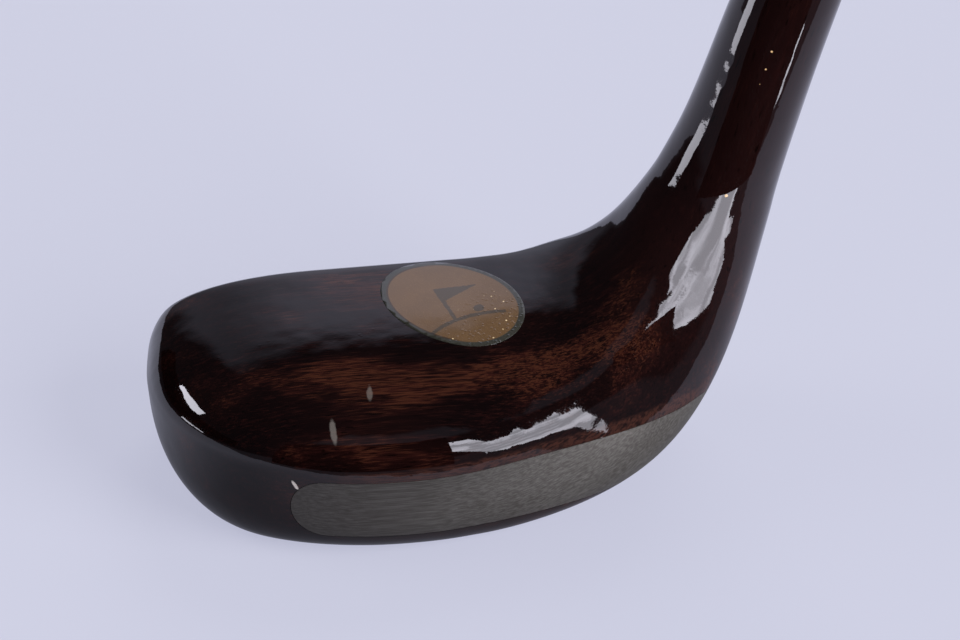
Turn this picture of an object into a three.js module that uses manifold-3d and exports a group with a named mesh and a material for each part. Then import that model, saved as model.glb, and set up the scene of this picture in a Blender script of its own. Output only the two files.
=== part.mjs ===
// A hickory-shafted, socket-head wooden golf driver, as it stands at address on its sole.
// Millimetres. The sole lies in Z = 0 with the origin on it, +Z is up, the face looks along +Y,
// the toe points along -X, and the shaft's axis leans towards +X in the plane Y = 0.
import * as THREE from "three";
import { mergeVertices } from "three/addons/utils/BufferGeometryUtils.js";
import Module from "manifold-3d";

const wasm = await Module();
wasm.setup();

// ---- driving dimensions ----
const CLUB_LENGTH = 1092; // 43 inches along the shaft's axis, from the ground to the butt
const LIE = THREE.MathUtils.degToRad(70.8); // shaft's axis above the ground
const LOFT = THREE.MathUtils.degToRad(10); // face's lean back
const FIT_GAP = 0.3; // clearance between a piece and the piece that it is let into

// The head is swept along a spine: straight from the toe, a bend at the heel, then the straight neck.
const MID_HEIGHT = 17; // height of the spine through the head
const TOE = -54.7; // where the toe closes
const BEND_START = 5;
const BEND_RADIUS = 50.3;
const NECK_END = 140; // arc length of the spine at the socket's rim
const FACE_Y = 10.2; // face plane at the spine's height
const FACE_FREED_FROM = 16; // along the spine: from here the neck begins to stand proud of the face plane
const FREED_SCALE = 8; // the plane moves out by the square of the way past that over this
const EDGE_SOFTNESS = 1.5; // how gently the section runs into the face and the sole

// Each section holds how far it reaches from the spine: up, down, back and to the face,
// with the crown's ridge moved by ridge and the fullest line of the back moved by bulge.
const SECTIONS = [
  { at: -60, up: 14, down: 19, back: 40.6, face: 15, ridge: -2, bulge: 4.7 },
  { at: -40, up: 15, down: 19.5, back: 42.6, face: 15.5, ridge: -2, bulge: 4.7 },
  { at: -20, up: 15.5, down: 19.5, back: 42.1, face: 16, ridge: -2, bulge: 4.7 },
  { at: 0, up: 16, down: 19.5, back: 43.1, face: 16, ridge: -2, bulge: 4.7 },
  { at: 17, up: 16.3, down: 19.5, back: 37.6, face: 15, ridge: -1, bulge: 3.8 },
  { at: 33, up: 12.2, down: 21.8, back: 32.2, face: 12, ridge: 0, bulge: 1.9 },
  { at: 47, up: 11.8, down: 17.4, back: 21.7, face: 10.9, ridge: 0, bulge: 0.4 },
  { at: 61, up: 12.3, down: 12.2, back: 11.7, face: 10.6, ridge: 0, bulge: 0 },
  { at: 77, up: 8.9, down: 10.8, back: 10.2, face: 9.8, ridge: 0, bulge: 0 },
  { at: 99, up: 9.35, down: 9.35, back: 9.35, face: 9.35, ridge: 0, bulge: 0 },
  { at: 120, up: 8.85, down: 8.85, back: 8.85, face: 8.85, ridge: 0, bulge: 0 },
  { at: 134, up: 8, down: 8, back: 8, face: 8, ridge: 0, bulge: 0 },
  { at: 150, up: 6.6, down: 6.6, back: 6.6, face: 6.6, ridge: 0, bulge: 0 },
];
const FIELDS = ["at", "up", "down", "back", "face", "ridge", "bulge"];

// How each reach closes to the toe: over how long a stretch, and how full the curve is.
const TOE_CLOSING = {
  up: { over: 34, power: 2.3 },
  down: { over: 22, power: 2.3 },
  back: { over: 46, power: 2.25 },
  face: { over: 20, power: 2.4 },
};

// How square each quarter of the head's section is. The neck is round, with a power of 2.
const CORNER_POWER = { crownBack: 2.2, backSole: 5.2, soleFace: 5, faceCrown: 4 };
const ROUNDING_STARTS = 15; // along the spine
const ROUNDING_ENDS = 70;

const TOE_STEPS = 12; // sections over the toe's closing curve
const TOE_SPAN = 48;
const SECTION_STEP = 5.5; // beyond it
const QUARTER_STEPS = 8; // points round a quarter of a section

// Lead let into the back of the head.
const LEAD = { left: -27.5, right: 53, bottom: 6, top: 19, depth: 9, heelDepth: 5 };
// Oval transfer on the crown.
const TRANSFER = { x: 3.7, y: -7.7, half: 15.4, halfWidth: 10.5, turn: -45, thick: 0.3 };
// Fibre insert in the face, and its screws.
const INSERT = { x: -8, height: 18, length: 38, width: 19, corner: 6, depth: 6 };
const SCREW = { headRadius: 2.4, headDepth: 1.8, radius: 1.3, length: 12, slot: 0.7, slotDepth: 0.8 };
const SCREW_INSET = 4.4; // from the insert's edges
// Slip of horn along the leading edge of the sole, and its pegs.
const SLIP = { from: -40, to: 30, width: 7.5, height: 4 };
const PEG = { radius: 1.6, length: 7, at: [-32, -5, 22] };

// Shaft, by distance along its axis from the ground.
const SOCKET_DEPTH = 58;
const TENON = { tip: 4.2, rim: 5.7 };
const SHAFT = { joint: 6.1, waist: 5.9, waistAt: 260, grip: 7.3, butt: 8.4, crown: 3 };
const GRIP_LENGTH = 282;
const GRIP_BUTT_MARGIN = 6; // bare wood above the grip
const UNDERLISTING = 1.3; // thickness of the cloth under the leather
const LEATHER = 1.7;
const NECK_WHIPPING = { below: 19, above: 24, thick: 0.9 }; // reach to each side of the joint
const GRIP_WHIPPING = { length: 14, thick: 0.8 };
const TACK = { headRadius: 1.8, headHeight: 0.9, radius: 0.6, length: 8 };
const TACK_INSET = 24; // from each end of the leather

const ROUND_SIDES = 28;

// ---- materials ----
const finish = (color, roughness, metalness = 0) =>
  new THREE.MeshStandardMaterial({ color, roughness, metalness });
const WOOD = finish(0x3a1a0d, 0.15);
const HICKORY = finish(0x9c6a38, 0.35);
const LEAD_GREY = finish(0x6a6c66, 0.55, 0.8);
const FIBRE = finish(0x1c1a19, 0.4);
const HORN = finish(0x2b221b, 0.3);
const PEG_WOOD = finish(0x8a6a45, 0.5);
const BRASS = finish(0xb8924a, 0.3, 1);
const GILT = finish(0x87653a, 0.3);
const THREAD = finish(0x15130f, 0.7);
const CLOTH = finish(0x4a4038, 0.9);
const HIDE = finish(0x3d2418, 0.6);

// ---- solids ----
// The closed surface of a three.js geometry as a solid that can be cut and joined.
function solid(geometry) {
  const bare = geometry.clone();
  bare.deleteAttribute("normal");
  bare.deleteAttribute("uv");
  const merged = mergeVertices(bare, 1e-4);
  return new wasm.Manifold(
    new wasm.Mesh({
      numProp: 3,
      vertProperties: new Float32Array(merged.attributes.position.array),
      triVerts: new Uint32Array(merged.index.array),
    }),
  );
}

function geometryOf(body) {
  const mesh = body.getMesh();
  const points = new Float32Array(mesh.numVert * 3);
  for (let i = 0; i < mesh.numVert; i++) {
    points.set(mesh.vertProperties.subarray(i * mesh.numProp, i * mesh.numProp + 3), i * 3);
  }
  const geometry = new THREE.BufferGeometry();
  geometry.setAttribute("position", new THREE.BufferAttribute(points, 3));
  geometry.setIndex(new THREE.BufferAttribute(new Uint32Array(mesh.triVerts), 1));
  geometry.computeVertexNormals();
  return geometry;
}

const club = new THREE.Group();

function add(name, body, material) {
  const mesh = new THREE.Mesh(geometryOf(body), material);
  mesh.name = name;
  club.add(mesh);
}

// A round bar along local +Z, from z = 0, its profile given as [radius, height] pairs.
function turned(profile, sides = ROUND_SIDES) {
  const points = profile.map(([radius, height]) => new THREE.Vector2(radius, height));
  return new THREE.LatheGeometry(points, sides).rotateX(Math.PI / 2);
}

const cylinder = (radius, from, to, sides = 20) =>
  turned([[0, from], [radius, from], [radius, to], [0, to]], sides);

// A slab whose outline lies in local XY and which reaches from z = from to z = to.
function slab(outline, from, to) {
  const options = { depth: to - from, bevelEnabled: false, curveSegments: 10 };
  return new THREE.ExtrudeGeometry(outline, options).translate(0, 0, from);
}

function roundedOutline(left, right, bottom, top, corner) {
  const shape = new THREE.Shape();
  shape.moveTo(left + corner, bottom);
  shape.lineTo(right - corner, bottom);
  shape.absarc(right - corner, bottom + corner, corner, -Math.PI / 2, 0, false);
  shape.absarc(right - corner, top - corner, corner, 0, Math.PI / 2, false);
  shape.absarc(left + corner, top - corner, corner, Math.PI / 2, Math.PI, false);
  shape.absarc(left + corner, bottom + corner, corner, Math.PI, 1.5 * Math.PI, false);
  return shape;
}

// ---- head ----
const mix = (a, b, t) => a + (b - a) * t;
const clamp01 = (t) => Math.min(1, Math.max(0, t));

function smoothStep(value, from, to) {
  const t = clamp01((value - from) / (to - from));
  return t * t * (3 - 2 * t);
}

// The smaller of two values, with the corner between them rounded off over softness.
function softMin(a, b, softness) {
  const h = clamp01(0.5 + (0.5 * (b - a)) / softness);
  return mix(b, a, h) - softness * h * (1 - h);
}

// A smooth uniform B-spline through the table of sections, read at an arc length of the spine.
function sectionAt(at) {
  const first = {};
  const last = {};
  const n = SECTIONS.length;
  for (const field of FIELDS) {
    first[field] = 2 * SECTIONS[0][field] - SECTIONS[1][field];
    last[field] = 2 * SECTIONS[n - 1][field] - SECTIONS[n - 2][field];
  }
  const control = [first, ...SECTIONS, last];
  const blend = (span, t, field) => {
    const [a, b, c, d] = control.slice(span, span + 4).map((s) => s[field]);
    const start = (1 - t) ** 3 * a + (3 * t ** 3 - 6 * t ** 2 + 4) * b;
    return (start + (-3 * t ** 3 + 3 * t ** 2 + 3 * t + 1) * c + t ** 3 * d) / 6;
  };
  let span = 0;
  while (span < n - 2 && blend(span, 1, "at") < at) span++;
  let low = 0;
  let high = 1;
  for (let i = 0; i < 40; i++) {
    const middle = (low + high) / 2;
    if (blend(span, middle, "at") < at) low = middle;
    else high = middle;
  }
  return Object.fromEntries(FIELDS.map((field) => [field, blend(span, low, field)]));
}

const BEND_LENGTH = BEND_RADIUS * LIE;

// The spine's point and its tilt at an arc length, in the plane Y = 0.
function spineAt(at) {
  const tilt = Math.min(LIE, Math.max(0, (at - BEND_START) / BEND_RADIUS));
  const along = Math.max(0, at - BEND_START - BEND_LENGTH);
  return {
    x: Math.min(at, BEND_START) + BEND_RADIUS * Math.sin(tilt) + along * Math.cos(LIE),
    z: MID_HEIGHT + BEND_RADIUS * (1 - Math.cos(tilt)) + along * Math.sin(LIE),
    tilt,
  };
}

function toeShare(at, { over, power }) {
  const t = clamp01((at - TOE) / over);
  return (1 - (1 - t) ** power) ** (1 / power);
}

// One ring of the head's surface: four quarter superellipses, run softly into face and sole.
function headRing(at) {
  const s = sectionAt(at);
  const spine = spineAt(at);
  const share = Object.fromEntries(
    Object.entries(TOE_CLOSING).map(([side, closing]) => [side, toeShare(at, closing)]),
  );
  const up = s.up * share.up;
  const down = s.down * share.down;
  const back = s.back * share.back;
  const face = s.face * share.face;
  const ridge = s.ridge * share.back;
  const bulge = s.bulge * share.up;
  const round = smoothStep(at, ROUNDING_STARTS, ROUNDING_ENDS);
  const freed = (Math.max(0, at - FACE_FREED_FROM) / FREED_SCALE) ** 2;
  // Each quarter runs from its first direction to its second, both measured from the ridge and bulge.
  const quarters = [
    [0, up - bulge, -(ridge + back), 0, CORNER_POWER.crownBack],
    [-(ridge + back), 0, 0, -(down + bulge), CORNER_POWER.backSole],
    [0, -(down + bulge), face - ridge, 0, CORNER_POWER.soleFace],
    [face - ridge, 0, 0, up - bulge, CORNER_POWER.faceCrown],
  ];
  const ring = [];
  for (const [startY, startV, endY, endV, corner] of quarters) {
    const power = 2 / mix(corner, 2, round);
    for (let i = 0; i < QUARTER_STEPS; i++) {
      const angle = (i / QUARTER_STEPS) * (Math.PI / 2);
      const near = Math.cos(angle) ** power;
      const far = Math.sin(angle) ** power;
      const y = ridge + startY * near + endY * far;
      const v = bulge + startV * near + endV * far;
      const x = spine.x - v * Math.sin(spine.tilt);
      const z = spine.z + v * Math.cos(spine.tilt);
      const faceY = FACE_Y - (z - MID_HEIGHT) * Math.tan(LOFT) + freed;
      ring.push([x, softMin(y, faceY, EDGE_SOFTNESS), -softMin(-z, 0, EDGE_SOFTNESS)]);
    }
  }
  return ring;
}

function headSolid() {
  const places = [];
  for (let i = 1; i <= TOE_STEPS; i++) {
    places.push(TOE + TOE_SPAN * (1 - Math.cos((i / TOE_STEPS) * (Math.PI / 2))));
  }
  const rest = NECK_END - (TOE + TOE_SPAN);
  const steps = Math.round(rest / SECTION_STEP);
  for (let i = 1; i <= steps; i++) places.push(TOE + TOE_SPAN + (rest * i) / steps);
  const rings = places.map(headRing);
  const count = rings[0].length;
  const rim = spineAt(NECK_END);
  const points = [[TOE, 0, MID_HEIGHT], ...rings.flat(), [rim.x, 0, rim.z]];
  const index = [];
  const id = (ring, i) => 1 + ring * count + (i % count);
  for (let i = 0; i < count; i++) index.push(0, id(0, i + 1), id(0, i));
  for (let r = 0; r + 1 < rings.length; r++) {
    for (let i = 0; i < count; i++) {
      index.push(id(r, i), id(r + 1, i + 1), id(r + 1, i));
      index.push(id(r, i), id(r, i + 1), id(r + 1, i + 1));
    }
  }
  const lastRing = rings.length - 1;
  for (let i = 0; i < count; i++) {
    index.push(points.length - 1, id(lastRing, i), id(lastRing, i + 1));
  }
  const geometry = new THREE.BufferGeometry();
  geometry.setAttribute("position", new THREE.Float32BufferAttribute(points.flat(), 3));
  geometry.setIndex(index);
  return solid(geometry);
}

// ---- places ----
// The shaft's own frame: local +Z runs up its axis from where the axis meets the ground.
const bendEnd = spineAt(BEND_START + BEND_LENGTH);
const groundToBend = bendEnd.z / Math.sin(LIE);
const shaftFrame = new THREE.Matrix4()
  .makeTranslation(bendEnd.x - groundToBend * Math.cos(LIE), 0, 0)
  .multiply(new THREE.Matrix4().makeRotationY(Math.PI / 2 - LIE));
const joint = groundToBend + NECK_END - BEND_START - BEND_LENGTH;
const butt = CLUB_LENGTH;
const gripTop = butt - GRIP_BUTT_MARGIN;
const gripBottom = gripTop - GRIP_LENGTH;
const onShaft = (geometry) => solid(geometry.applyMatrix4(shaftFrame));

// The face's own frame: local +Z leaves the face, local +Y runs up it, local +X is the part's -X.
const faceRight = new THREE.Vector3(-1, 0, 0);
const faceUp = new THREE.Vector3(0, -Math.sin(LOFT), Math.cos(LOFT));
const faceOut = new THREE.Vector3(0, Math.cos(LOFT), Math.sin(LOFT));
function onFace(geometry, x, height) {
  const y = FACE_Y - (height - MID_HEIGHT) * Math.tan(LOFT);
  const placed = new THREE.Matrix4().makeBasis(faceRight, faceUp, faceOut);
  return geometry.applyMatrix4(placed.setPosition(x, y, height));
}

const blank = headSolid();
let head = blank;

// ---- back weight ----
function leadTool(spare) {
  const { left, right, bottom, top, depth, heelDepth } = LEAD;
  const nearlyRound = (top - bottom) / 2 + spare - 0.1;
  const outline = roundedOutline(left - spare, right + spare, bottom - spare, top + spare, nearlyRound);
  // Outline in X and Z, pushed through the back along Y.
  const through = solid(slab(outline, 0, 90).rotateX(Math.PI / 2));
  // Plan of the pocket: everything further back than the head's own back moved in by the depth.
  const inner = blank.translate([-heelDepth - spare, depth + spare, 0]);
  return through.subtract(inner);
}
add("back_weight", blank.intersect(leadTool(-FIT_GAP / 2)), LEAD_GREY);
head = head.subtract(leadTool(FIT_GAP / 2));

// ---- face insert and its screws ----
function insertTool(spare) {
  const { length, width, corner, depth, x, height } = INSERT;
  const half = length / 2 + spare;
  const halfWidth = width / 2 + spare;
  const outline = roundedOutline(-half, half, -halfWidth, halfWidth, corner);
  return solid(onFace(slab(outline, -depth - spare, 5), x, height));
}

function screwAt(x, up, spare) {
  const { headRadius, headDepth, radius, length } = SCREW;
  const profile = [
    [0, -length - spare],
    [radius + spare, -length - spare],
    [radius + spare, -headDepth],
    [headRadius + spare, 0],
    [headRadius + spare, spare > 0 ? 3 : 0],
    [0, spare > 0 ? 3 : 0],
  ];
  const outline = profile.filter((p, i) => i === 0 || p.join() !== profile[i - 1].join());
  const height = INSERT.height + up * Math.cos(LOFT);
  return solid(onFace(turned(outline, 18), x, height));
}

let insert = blank.intersect(insertTool(-FIT_GAP / 2));
head = head.subtract(insertTool(FIT_GAP / 2));
const screwX = INSERT.length / 2 - SCREW_INSET;
const screwUp = INSERT.width / 2 - SCREW_INSET;
const screwPlaces = [[-1, 1], [1, 1], [-1, -1], [1, -1]];
screwPlaces.forEach(([side, level], i) => {
  const x = INSERT.x + side * screwX;
  const up = level * screwUp;
  insert = insert.subtract(screwAt(x, up, FIT_GAP));
  head = head.subtract(screwAt(x, up, FIT_GAP));
  const { slot, slotDepth, headRadius } = SCREW;
  const width = 2 * headRadius + 1;
  const cut = new THREE.BoxGeometry(width, slot, 2 * slotDepth).rotateZ(0.5 + i * 0.8);
  const slotTool = solid(onFace(cut, x, INSERT.height + up * Math.cos(LOFT)));
  add(`insert_screw_${i + 1}`, screwAt(x, up, 0).subtract(slotTool), BRASS);
});
add("face_insert", insert, FIBRE);

// ---- slip along the leading edge of the sole ----
const soleFaceY = FACE_Y + MID_HEIGHT * Math.tan(LOFT);
function slipTool(spare) {
  const { from, to, width, height } = SLIP;
  const box = new THREE.BoxGeometry(to - from + 2 * spare, 2 * (width + spare), 2 * (height + spare));
  return solid(box.translate((from + to) / 2, soleFaceY, 0));
}
let slip = blank.intersect(slipTool(-FIT_GAP / 2));
head = head.subtract(slipTool(FIT_GAP / 2));
PEG.at.forEach((x, i) => {
  const y = soleFaceY - SLIP.width * 0.55;
  const peg = (spare, from) =>
    solid(cylinder(PEG.radius + spare, from, PEG.length + spare, 16).translate(x, y, 0));
  slip = slip.subtract(peg(FIT_GAP, -1));
  head = head.subtract(peg(FIT_GAP, -1));
  add(`slip_peg_${i + 1}`, peg(0, 0), PEG_WOOD);
});
add("sole_slip", slip, HORN);

// ---- transfer on the crown ----
function transferTool(spare) {
  const outline = new THREE.Shape();
  const { x, y, half, halfWidth, turn } = TRANSFER;
  const angle = THREE.MathUtils.degToRad(turn);
  outline.absellipse(x, y, half + spare, halfWidth + spare, 0, 2 * Math.PI, false, angle);
  return solid(slab(outline, MID_HEIGHT, 2 * MID_HEIGHT + 20));
}
const lowered = (by) => blank.translate([0, 0, -by]);
add("crown_transfer", blank.intersect(transferTool(0)).subtract(lowered(TRANSFER.thick)), GILT);
const recess = TRANSFER.thick + FIT_GAP;
head = head.subtract(transferTool(FIT_GAP).subtract(lowered(recess)));

// ---- socket and shaft ----
const socketFloor = joint - SOCKET_DEPTH;
const socket = turned([
  [0, socketFloor - FIT_GAP],
  [TENON.tip + FIT_GAP, socketFloor - FIT_GAP],
  [TENON.rim + FIT_GAP, joint],
  [TENON.rim + FIT_GAP, joint + 5],
  [0, joint + 5],
]);
head = head.subtract(onShaft(socket));
add("head", head, WOOD);

// The shaft's radius at a distance along it, above the joint.
function shaftRadius(s) {
  if (s < SHAFT.waistAt) {
    return mix(SHAFT.joint, SHAFT.waist, (s - joint) / (SHAFT.waistAt - joint));
  }
  if (s < gripBottom) {
    return mix(SHAFT.waist, SHAFT.grip, (s - SHAFT.waistAt) / (gripBottom - SHAFT.waistAt));
  }
  return mix(SHAFT.grip, SHAFT.butt, (s - gripBottom) / (butt - gripBottom));
}

const evenly = (from, to, steps) =>
  Array.from({ length: steps + 1 }, (_, i) => mix(from, to, i / steps));

function tackTool(s, spare, sink) {
  const seat = shaftRadius(s) + sink;
  const stem = cylinder(TACK.radius + spare, seat - TACK.length - spare, seat + 2, 10);
  return { stem, seat };
}

// A tack is driven in radially on the back side of the shaft, through the leather.
function placeTack(geometry, s) {
  return onShaft(geometry.rotateX(Math.PI / 2).translate(0, 0, s));
}

const leatherTop = FIT_GAP + UNDERLISTING + FIT_GAP + LEATHER;
const tackPlaces = [
  { name: "grip_tack_lower", s: gripBottom + TACK_INSET },
  { name: "grip_tack_upper", s: gripTop - TACK_INSET },
];
const drill = (body, spare) =>
  tackPlaces.reduce(
    (rest, { s }) => rest.subtract(placeTack(tackTool(s, spare, leatherTop).stem, s)),
    body,
  );

const shaftBody = onShaft(
  turned([
    [0, socketFloor],
    [TENON.tip, socketFloor],
    [TENON.rim, joint],
    ...evenly(joint + FIT_GAP, gripBottom, 10).map((s) => [shaftRadius(s), s]),
    [SHAFT.butt, butt - SHAFT.crown],
    [SHAFT.butt - 0.9, butt - 1],
    [SHAFT.butt - 3.5, butt],
    [0, butt],
  ]),
);
add("shaft", drill(shaftBody, FIT_GAP), HICKORY);

// A sleeve between two distances, given its inner radius and thickness there, with rounded rims.
function sleeve(from, to, innerAt, thick, steps, rim) {
  const places = evenly(from, to, steps);
  const outer = places.map((s) => [innerAt(s) + thick, s]);
  outer[0] = [innerAt(from) + thick - rim, from];
  outer[steps] = [innerAt(to) + thick - rim, to];
  outer.splice(1, 0, [innerAt(from) + thick, from + rim]);
  outer.splice(steps + 1, 0, [innerAt(to) + thick, to - rim]);
  const inner = places.map((s) => [innerAt(s), s]).reverse();
  return turned([...outer, ...inner, outer[0]]);
}

// ---- neck whipping ----
const neckRadius = (s) => sectionAt(s - joint + NECK_END).up;
const whippingBase = (s) => FIT_GAP + (s < joint ? neckRadius(s) : neckOverShaft(s));
// Past the rim the binding tapers down from the neck to the shaft.
function neckOverShaft(s) {
  const over = smoothStep(s, joint, joint + 0.6 * NECK_WHIPPING.above);
  return mix(neckRadius(joint), shaftRadius(s), over);
}
add(
  "neck_whipping",
  onShaft(
    sleeve(
      joint - NECK_WHIPPING.below,
      joint + NECK_WHIPPING.above,
      whippingBase,
      NECK_WHIPPING.thick,
      8,
      0.4,
    ),
  ),
  THREAD,
);

// ---- grip ----
const clothBase = (s) => shaftRadius(s) + FIT_GAP;
const leatherBase = (s) => clothBase(s) + UNDERLISTING + FIT_GAP;
const bindingBase = (s) => leatherBase(s) + LEATHER + FIT_GAP;
const cloth = onShaft(sleeve(gripBottom + 2, gripTop - 2, clothBase, UNDERLISTING, 3, 0.4));
const leather = onShaft(sleeve(gripBottom, gripTop, leatherBase, LEATHER, 3, 0.7));
add("grip_underlisting", drill(cloth, FIT_GAP), CLOTH);
add("grip_leather", drill(leather, FIT_GAP), HIDE);
const whippings = [
  { name: "grip_whipping_lower", from: gripBottom + 2 },
  { name: "grip_whipping_upper", from: gripTop - 2 - GRIP_WHIPPING.length },
];
for (const { name, from } of whippings) {
  const to = from + GRIP_WHIPPING.length;
  add(name, onShaft(sleeve(from, to, bindingBase, GRIP_WHIPPING.thick, 2, 0.3)), THREAD);
}
for (const { name, s } of tackPlaces) {
  const seat = shaftRadius(s) + leatherTop + FIT_GAP;
  const { headRadius, headHeight, radius, length } = TACK;
  const tack = turned(
    [
      [0, seat - length],
      [radius, seat - length + 1.5],
      [radius, seat],
      [headRadius, seat],
      [headRadius * 0.8, seat + headHeight * 0.6],
      [0, seat + headHeight],
    ],
    12,
  );
  add(name, placeTack(tack, s), BRASS);
}

export default club;
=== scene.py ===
"""Looks of a hickory-shafted wooden golf driver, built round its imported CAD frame.

Metres throughout, in the frame of the CAD: the sole lies in Z = 0 with the origin on it, the face looks
along +Y, the toe points along -X, and the shaft's axis leans towards +X in the plane Y = 0.
The head is the CAD head's swept surface made finely, and the pieces let into it are cut from it.
"""

import math

import bpy
import numpy as np
from mathutils import Matrix, Vector


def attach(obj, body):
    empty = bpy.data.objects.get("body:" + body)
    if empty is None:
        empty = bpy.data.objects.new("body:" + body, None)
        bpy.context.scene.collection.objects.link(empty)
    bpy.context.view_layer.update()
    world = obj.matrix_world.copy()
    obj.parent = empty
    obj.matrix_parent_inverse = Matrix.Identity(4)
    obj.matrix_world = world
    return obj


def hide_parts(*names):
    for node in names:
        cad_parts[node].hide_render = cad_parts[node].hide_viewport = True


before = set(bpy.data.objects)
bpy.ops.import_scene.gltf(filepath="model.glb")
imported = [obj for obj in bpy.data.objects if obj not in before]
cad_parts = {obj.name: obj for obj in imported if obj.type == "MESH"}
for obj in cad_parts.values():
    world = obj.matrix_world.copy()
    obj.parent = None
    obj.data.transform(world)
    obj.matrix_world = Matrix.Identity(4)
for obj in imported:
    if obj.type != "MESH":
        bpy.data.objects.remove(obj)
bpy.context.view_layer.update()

MM = 0.001
UP = Vector((0, 0, 1))

# ---- driving dimensions, in millimetres, as in the CAD ----
CLUB_LENGTH = 1092.0
LIE = math.radians(70.8)
LOFT = math.radians(10)
MID_HEIGHT = 17.0
TOE = -54.7
BEND_START = 5.0
BEND_RADIUS = 50.3
NECK_END = 140.0
FACE_Y = 10.2
FACE_FREED = {"from": 16.0, "scale": 8.0}  # past here along the spine the face plane moves out
EDGE_SOFTNESS = 1.5

# Reach of each section of the head: arc length, up, down, back, to the face, ridge, bulge.
SECTIONS = np.array([
    (-60, 14, 19, 40.6, 15, -2, 4.7),
    (-40, 15, 19.5, 42.6, 15.5, -2, 4.7),
    (-20, 15.5, 19.5, 42.1, 16, -2, 4.7),
    (0, 16, 19.5, 43.1, 16, -2, 4.7),
    (17, 16.3, 19.5, 37.6, 15, -1, 3.8),
    (33, 12.2, 21.8, 32.2, 12, 0, 1.9),
    (47, 11.8, 17.4, 21.7, 10.9, 0, 0.4),
    (61, 12.3, 12.2, 11.7, 10.6, 0, 0),
    (77, 8.9, 10.8, 10.2, 9.8, 0, 0),
    *[(at, r, r, r, r, 0, 0) for at, r in ((99, 9.35), (120, 8.85), (134, 8), (150, 6.6))],
], dtype=float)
TOE_CLOSING = {"up": (34, 2.3), "down": (22, 2.3), "back": (46, 2.25), "face": (20, 2.4)}
CORNER_POWER = {"crown_back": 2.2, "back_sole": 5.2, "sole_face": 5.0, "face_crown": 4.0}
ROUNDING = (15.0, 70.0)

RING_POINTS = 176
RING_SPACING = 0.8  # along the spine
RING_SOFTENING = 1.6  # in ring points
TOE_RINGS = {"over": 20.0, "count": 34}  # bunched towards the very end of the toe

LEAD = {"left": -27.5, "right": 53.0, "bottom": 6.0, "top": 19.0, "depth": 9.0, "heel_depth": 5.0}
TRANSFER = {"x": 3.7, "y": -7.7, "half": 15.4, "half_width": 10.5, "turn": math.radians(-45)}
INSERT = {"x": -8.0, "height": 18.0, "length": 38.0, "width": 19.0, "corner": 6.0, "depth": 6.0}
SCREW = {"head": 2.4, "sunk": 1.8, "stem": 1.3, "length": 12.0, "inset": 4.4}
SCREW_SLOT = {"width": 0.7, "depth": 0.8, "first_turn": 0.5, "turn_step": 0.8}
SLIP = {"from": -40.0, "to": 30.0, "width": 7.5, "height": 4.0}
PEG = {"radius": 1.6, "length": 7.0, "at": (-32.0, -5.0, 22.0)}
SEAM = 0.05  # half the width of the seam round a piece let into the head
TOOL_REACH = 90.0  # how far a tool that cuts the lead's pocket stands out of the head
FILM_THICKNESS = 0.04

SOCKET_DEPTH = 58.0
TENON = {"tip": 4.2, "rim": 5.7}
SHAFT = {"joint": 6.1, "waist": 5.9, "waist_at": 260.0, "grip": 7.3, "butt": 8.4}
GRIP_LENGTH = 282.0
GRIP_BUTT_MARGIN = 6.0
UNDERLISTING = 1.3
LEATHER = 1.7
FIT_GAP = 0.3
NECK_WHIPPING = {"below": 19.0, "above": 24.0}
GRIP_WHIPPING = {"length": 14.0, "inset": 2.0}
THREAD = 0.72
THREAD_LIFT = 0.1  # of a binding over what it is wound on
CORE = {"shorter": 0.6, "thick": 0.45}  # of the turns beneath a binding's own, in threads
WRAP_PITCH = 19.0  # of the leather strip along the shaft
WRAP_EDGE = {"raised": 0.55, "over": 0.10, "sunk": 0.35, "under": 0.035, "share": 0.8}
TACK = {"head": 1.8, "rim": 0.15, "rise": 0.9, "stem": 0.6, "point": 1.5, "length": 8.0, "inset": 24.0}
TACK_LIFT = 0.05  # of its head over the leather


# ---- small maths ----
def smooth_step(value, start, end):
    t = np.clip((value - start) / (end - start), 0, 1)
    return t * t * (3 - 2 * t)


def soft_min(a, b, softness):
    h = np.clip(0.5 + 0.5 * (b - a) / softness, 0, 1)
    return b + (a - b) * h - softness * h * (1 - h)


# ---- the head's surface ----
def spline_table():
    """The sections blended by a uniform cubic B-spline, sampled densely."""
    first = 2 * SECTIONS[0] - SECTIONS[1]
    last = 2 * SECTIONS[-1] - SECTIONS[-2]
    control = np.vstack([first, SECTIONS, last])
    t = np.linspace(0, 1, 60)[:-1, None]
    weights = [(1 - t) ** 3, 3 * t**3 - 6 * t**2 + 4, -3 * t**3 + 3 * t**2 + 3 * t + 1, t**3]
    spans = []
    for i in range(len(SECTIONS) - 1):
        spans.append(sum(w * control[i + k] for k, w in enumerate(weights)) / 6)
    return np.vstack(spans)


TABLE = spline_table()


def section(at):
    return [np.interp(at, TABLE[:, 0], TABLE[:, i]) for i in range(1, 7)]


def spine(at):
    """Point and tilt of the spine at an arc length, in the plane Y = 0."""
    tilt = np.clip((at - BEND_START) / BEND_RADIUS, 0, LIE)
    along = np.maximum(0, at - BEND_START - BEND_RADIUS * LIE)
    x = np.minimum(at, BEND_START) + BEND_RADIUS * np.sin(tilt) + along * math.cos(LIE)
    z = MID_HEIGHT + BEND_RADIUS * (1 - np.cos(tilt)) + along * math.sin(LIE)
    return x, z, tilt


def toe_share(at, side):
    over, power = TOE_CLOSING[side]
    t = np.clip((at - TOE) / over, 0, 1)
    return (1 - (1 - t) ** power) ** (1 / power)


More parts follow.
